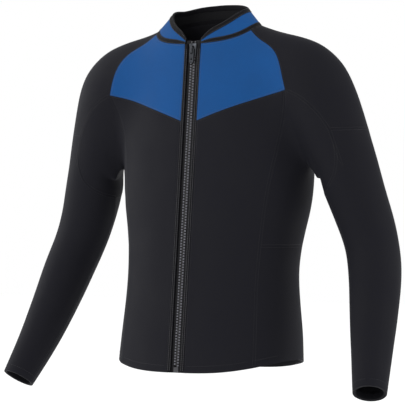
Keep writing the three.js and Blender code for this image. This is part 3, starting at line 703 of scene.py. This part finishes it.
for side in ("left", "right"):
    sleeve_seams = ["shoulder_panel_" + side, "underarm_panel_" + side, "sleeve_" + side]
    sew("front_seam_stitches_" + side, ["front_panel_" + side, "side_panel_" + side], stitch_in,
        black_thread, off_hem)
    sew("yoke_seam_stitches_" + side, ["chest_yoke_" + side], stitch_in, grey_thread)
    sew("sleeve_seam_stitches_" + side, sleeve_seams, stitch_in, black_thread, off_cuff)
    sew("cuff_stitches_" + side, ["sleeve_" + side], hem_stitch_in, black_thread, at_cuff)
sew("back_seam_stitches", ["upper_back_panel", "lower_back_panel"], stitch_in, black_thread, off_hem)
hem_panels = ["front_panel_left", "front_panel_right", "side_panel_left", "side_panel_right",
              "lower_back_panel"]
sew("hem_stitches", hem_panels, hem_stitch_in, black_thread, at_hem)
sew("collar_stitches", ["neck_seam_tape", "collar_binding"], collar_stitch_in, grey_thread)

# ---------------------------------------------------------------------------------------------
# Front zip: bindings. Each front edge of foam is wrapped in a folded black tape, with rounded
# edges and a row of topstitching near each side.
# ---------------------------------------------------------------------------------------------
mm = 0.001
zip_rise, zip_set_back = 589 * mm, 57 * mm
zip_lean = -math.atan(zip_set_back / zip_rise)
zip_foot = (0, -127 * mm, -600 * mm)
chain_foot = 14.51 * mm
chain_top = 593.76 * mm
binding_near, binding_far = 10.5 * mm, 17.35 * mm
binding_stitch_step = 3.4 * mm
binding_stitched = 580 * mm
# A stitch's half width, half height and half length, its place in front of the zip's line, and
# the first one's height.
binding_stitch_size = (0.32 * mm, 0.3 * mm, 1.25 * mm)
binding_stitch_front, binding_stitch_foot = -0.62 * mm, 8 * mm


def on_zip(piece):
    """Stands a piece, drawn straight up from the origin, on the line of the zip."""
    deselect_all()
    piece.select_set(True)
    bpy.context.view_layer.objects.active = piece
    piece.rotation_euler.x = zip_lean
    piece.location = zip_foot
    bpy.ops.object.transform_apply(location=True, rotation=True, scale=True)


def part_of(piece, body, material, slot, *nodes):
    """Gives a finished piece its material and its place in the model."""
    piece.data.materials.clear()
    piece.data.materials.append(material)
    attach(piece, body)
    if nodes:
        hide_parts(*nodes)


def repeat_up(piece, count, step):
    """Repeats a piece up the zip."""
    add_modifier(piece, "ARRAY", count=count, use_relative_offset=False, use_constant_offset=True,
                 constant_offset_displace=(0, 0, step))


def rounded_copy(node, name, width, segments=3):
    """A frame node's shape with its corners rounded."""
    piece = copy_of(node, name)
    add_modifier(piece, "BEVEL", width=width, segments=segments, limit_method="ANGLE",
                 angle_limit=math.radians(25))
    bpy.ops.object.shade_smooth_by_angle(angle=math.radians(40))
    return piece


for side in ("left", "right"):
    binding = rounded_copy("zip_binding_" + side, "front_edge_binding_" + side, 0.5 * mm)
    part_of(binding, "jacket", black_tape, "black_binding", "zip_binding_" + side)

# The binding's topstitching is drawn up the zip, at two distances from its middle.
for side, sign in (("left", 1), ("right", -1)):
    for row, across in (("inner", binding_near + 1.4 * mm), ("outer", binding_far - 1.3 * mm)):
        bpy.ops.mesh.primitive_uv_sphere_add(segments=8, ring_count=6, radius=1)
        stitch = bpy.context.object
        stitch.name = "binding_stitches_" + row + "_" + side
        stitch.scale = binding_stitch_size
        stitch.location = (sign * across, binding_stitch_front, binding_stitch_foot)
        bpy.ops.object.transform_apply(location=True, rotation=False, scale=True)
        repeat_up(stitch, int(binding_stitched / binding_stitch_step), binding_stitch_step)
        bpy.ops.object.shade_smooth()
        on_zip(stitch)
        part_of(stitch, "jacket", grey_thread, "black_binding")

# ---------------------------------------------------------------------------------------------
# Front zip: tapes. Black woven polyester twill, sewn under the bindings, with a corded edge that
# the teeth are moulded on.
# ---------------------------------------------------------------------------------------------
cord_half = 0.85 * mm
cord_out = 4.5 * mm
chain_middle = 3.7 * mm
black_twill = tape_material("black_woven_polyester_twill", "161618", 0.0010, direction="DIAGONAL")
for side, sign in (("left", 1), ("right", -1)):
    tape = rounded_copy("zip_tape_" + side, "zip_twill_tape_" + side, 0.2 * mm, segments=2)
    part_of(tape, "jacket", black_twill, "black_web", "zip_tape_" + side)
    deselect_all()
    middle = (sign * cord_out, chain_middle, (chain_top + chain_foot) / 2)
    bpy.ops.mesh.primitive_cylinder_add(vertices=12, radius=cord_half, depth=chain_top - chain_foot,
                                        location=middle)
    cord = bpy.context.object
    cord.name = "zip_tape_corded_edge_" + side
    add_modifier(cord, "BEVEL", width=0.3 * mm, segments=2, limit_method="ANGLE",
                 angle_limit=math.radians(60))
    bpy.ops.object.shade_smooth_by_angle(angle=math.radians(40))
    bpy.ops.object.transform_apply(location=True, rotation=False, scale=False)
    on_zip(cord)
    part_of(cord, "jacket", black_twill, "black_web")

# ---------------------------------------------------------------------------------------------
# Front zip: teeth. Chunky black acetal teeth moulded round the corded edge. Each has a foot that
# grips the tape, a waist, and a rounded head that sits between two heads of the other side.
# ---------------------------------------------------------------------------------------------
tooth_pitch = 5 * mm
tooth_thick = 3 * mm
tooth_out, tooth_up = 4.2 * mm, 1.35 * mm
tooth_foot_wide, tooth_foot_tall = 1.6 * mm, 2.5 * mm
# Painted highlight: the teeth's colour is painted lighter between these distances from the zip's middle,
# and stays light beyond them, so that their shoulders read as lit.
highlight_from, highlight_to = 1.2 * mm, 2.4 * mm
# Shoulder, waist and rounded head, each drawn out from the last: its step in millimetres, and its
# change of height and of thickness.
tooth_steps = ((0.3, 1.1, 1.1), (1.4, 1.0, 1.0), (0.6, 0.6, 0.82), (0.9, 1.0, 1.0),
               (0.5, 1.25, 1.0), (0.8, 1.0, 1.0), (0.5, 0.6, 0.7))


def moulding_material(name, colour, rough_low, rough_high, highlight_colour=None):
    """Injection-moulded acetal: a low gloss with fine mould grain, and highlights on rounded edges.

    A lighter colour given here is a painted highlight on the teeth's shoulders, away from the zip's middle.
    """
    material, tree, shader = new_material(name)
    place = add_node(tree, "ShaderNodeTexCoord").outputs["Object"]
    grain = add_node(tree, "ShaderNodeTexNoise", {"Vector": place, "Scale": 1800.0, "Detail": 3.0})
    patch = add_node(tree, "ShaderNodeTexNoise", {"Vector": place, "Scale": 60.0, "Detail": 2.0})
    surface = shaded(tree, linear(colour)[:3], spread(tree, patch.outputs["Fac"], 0.9, 1.1))
    if highlight_colour:
        # Painted highlight: the colour turns lighter away from the zip's middle.
        across = add_node(tree, "ShaderNodeSeparateXYZ", {"Vector": place})
        out = add_node(tree, "ShaderNodeMath", {0: across.outputs["X"]}, operation="ABSOLUTE")
        highlight_share = spread(tree, out.outputs["Value"], 0.0, 1.0, first=highlight_from, last=highlight_to)
        mixed = add_node(tree, "ShaderNodeMix", {0: highlight_share, 6: surface, 7: linear(highlight_colour)}, data_type="RGBA")
        surface = mixed.outputs[2]
    set_surface(tree, shader, surface,
                spread(tree, patch.outputs["Fac"], rough_low, rough_high, first=0.0, last=1.0))
    add_relief(tree, shader, grain.outputs["Fac"], 0.15, 0.0001)
    shader.inputs["IOR"].default_value = 1.48
    return material


black_acetal = moulding_material("black_moulded_acetal", "2A2A2E", 0.24, 0.36)
# The teeth's acetal, with a painted highlight on their shoulders.
highlit_acetal = moulding_material("acetal_with_painted_highlight", "101013", 0.22, 0.34, highlight_colour="56565C")


def pick_tip(piece, toward):
    """Selects the face of a piece that looks one way and lies farthest that way."""
    bpy.ops.object.mode_set(mode="OBJECT")
    farthest = max(polygon.center.dot(toward) for polygon in piece.data.polygons)
    for polygon in piece.data.polygons:
        is_tip = polygon.center.dot(toward) > farthest - 0.05 * mm
        polygon.select = is_tip and polygon.normal.dot(toward) > 0.9
    bpy.ops.object.mode_set(mode="EDIT")


for side, sign, shift in (("left", 1, 0.0), ("right", -1, tooth_pitch / 2)):
    deselect_all()
    height = chain_foot + shift + tooth_up
    toward = Vector((-sign, 0, 0))
    bpy.ops.mesh.primitive_cube_add(size=1, location=(sign * tooth_out, chain_middle, height))
    tooth = bpy.context.object
    tooth.name = "zip_teeth_moulded_" + side
    tooth.scale = (tooth_foot_wide, tooth_thick, tooth_foot_tall)
    bpy.ops.object.transform_apply(location=True, rotation=False, scale=True)
    bpy.ops.object.mode_set(mode="EDIT")
    bpy.ops.mesh.select_mode(type="FACE")
    for step, tall, thick in tooth_steps:
        pick_tip(tooth, toward)
        bpy.ops.mesh.extrude_region_move(TRANSFORM_OT_translate={"value": toward * step * mm})
        bpy.ops.transform.resize(value=(1, thick, tall))
    bpy.ops.mesh.select_all(action="SELECT")
    bpy.ops.mesh.normals_make_consistent(inside=False)
    bpy.ops.object.mode_set(mode="OBJECT")
    add_modifier(tooth, "BEVEL", width=0.22 * mm, segments=1, limit_method="ANGLE",
                 angle_limit=math.radians(30))
    repeat_up(tooth, int((chain_top - chain_foot - shift) / tooth_pitch), tooth_pitch)
    bpy.ops.object.shade_smooth_by_angle(angle=math.radians(50))
    on_zip(tooth)
    part_of(tooth, "jacket", highlit_acetal, "black_moulding", "zip_teeth_" + side)

# ---------------------------------------------------------------------------------------------
# Front zip: ends. Moulded stops at the top of the chain, and at its foot a pin on the left half
# that drops into a box on the right half.
# ---------------------------------------------------------------------------------------------
for node, name in (("zip_top_stop_left", "moulded_stop_left"), ("zip_top_stop_right", "moulded_stop_right"),
                   ("insertion_pin", "moulded_pin"), ("retainer_box", "moulded_box")):
    part_of(rounded_copy(node, name, 0.35 * mm), "jacket", black_acetal, "black_moulding", node)

# ---------------------------------------------------------------------------------------------
# Front zip: flap. A soft strip of twill behind the teeth keeps them and the cold off the chest.
# It is sewn down one side of the zip, and runs a little past the chain's foot.
# ---------------------------------------------------------------------------------------------
flap_past_foot = 11 * mm
flap = rounded_copy("zip_backing_flap", "zip_flap", 0.4 * mm, segments=2)
flap_foot = min(vertex.co.z for vertex in flap.data.vertices)
for vertex in flap.data.vertices:
    if vertex.co.z < flap_foot + 2 * mm:
        vertex.co += Vector((0, math.sin(zip_lean), -math.cos(zip_lean))) * flap_past_foot
part_of(flap, "jacket", black_twill, "black_web", "zip_backing_flap")

# ---------------------------------------------------------------------------------------------
# Slider. Die-cast zinc, tumbled smooth and plated black-nickel: a front and a back plate with lips
# round the teeth, a bridge on the front plate, and a pull tab that hangs from the bridge.
# ---------------------------------------------------------------------------------------------


def plated_material(name, colour):
    """Black-nickel plate on tumbled zinc: a dark mirror, a little cloudy, over a fine cast grain."""
    material, tree, shader = new_material(name)
    place = add_node(tree, "ShaderNodeTexCoord").outputs["Object"]
    cloud = add_node(tree, "ShaderNodeTexNoise", {"Vector": place, "Scale": 300.0, "Detail": 3.0})
    cast = add_node(tree, "ShaderNodeTexNoise", {"Vector": place, "Scale": 1400.0, "Detail": 2.0})
    tone = spread(tree, cloud.outputs["Fac"], 0.85, 1.15)
    set_surface(tree, shader, shaded(tree, linear(colour)[:3], tone),
                spread(tree, cloud.outputs["Fac"], 0.22, 0.42, first=0.0, last=1.0))
    add_relief(tree, shader, cast.outputs["Fac"], 0.12, 0.0001)
    shader.inputs["Metallic"].default_value = 1.0
    return material


black_nickel = plated_material("black_nickel_plated_cast_zinc", "3C3E42")
for node, name, body, soft in (
    ("slider_front_plate", "slider_plate_front", "slider", 0.45),
    ("slider_back_plate", "slider_plate_back", "slider", 0.45),
    ("slider_bridge", "slider_cast_bridge", "slider", 0.5),
    ("pull_tab", "slider_pull", "pull", 0.45),
):
    part_of(rounded_copy(node, name, soft * mm), body, black_nickel, "dark_cast_zinc", node)
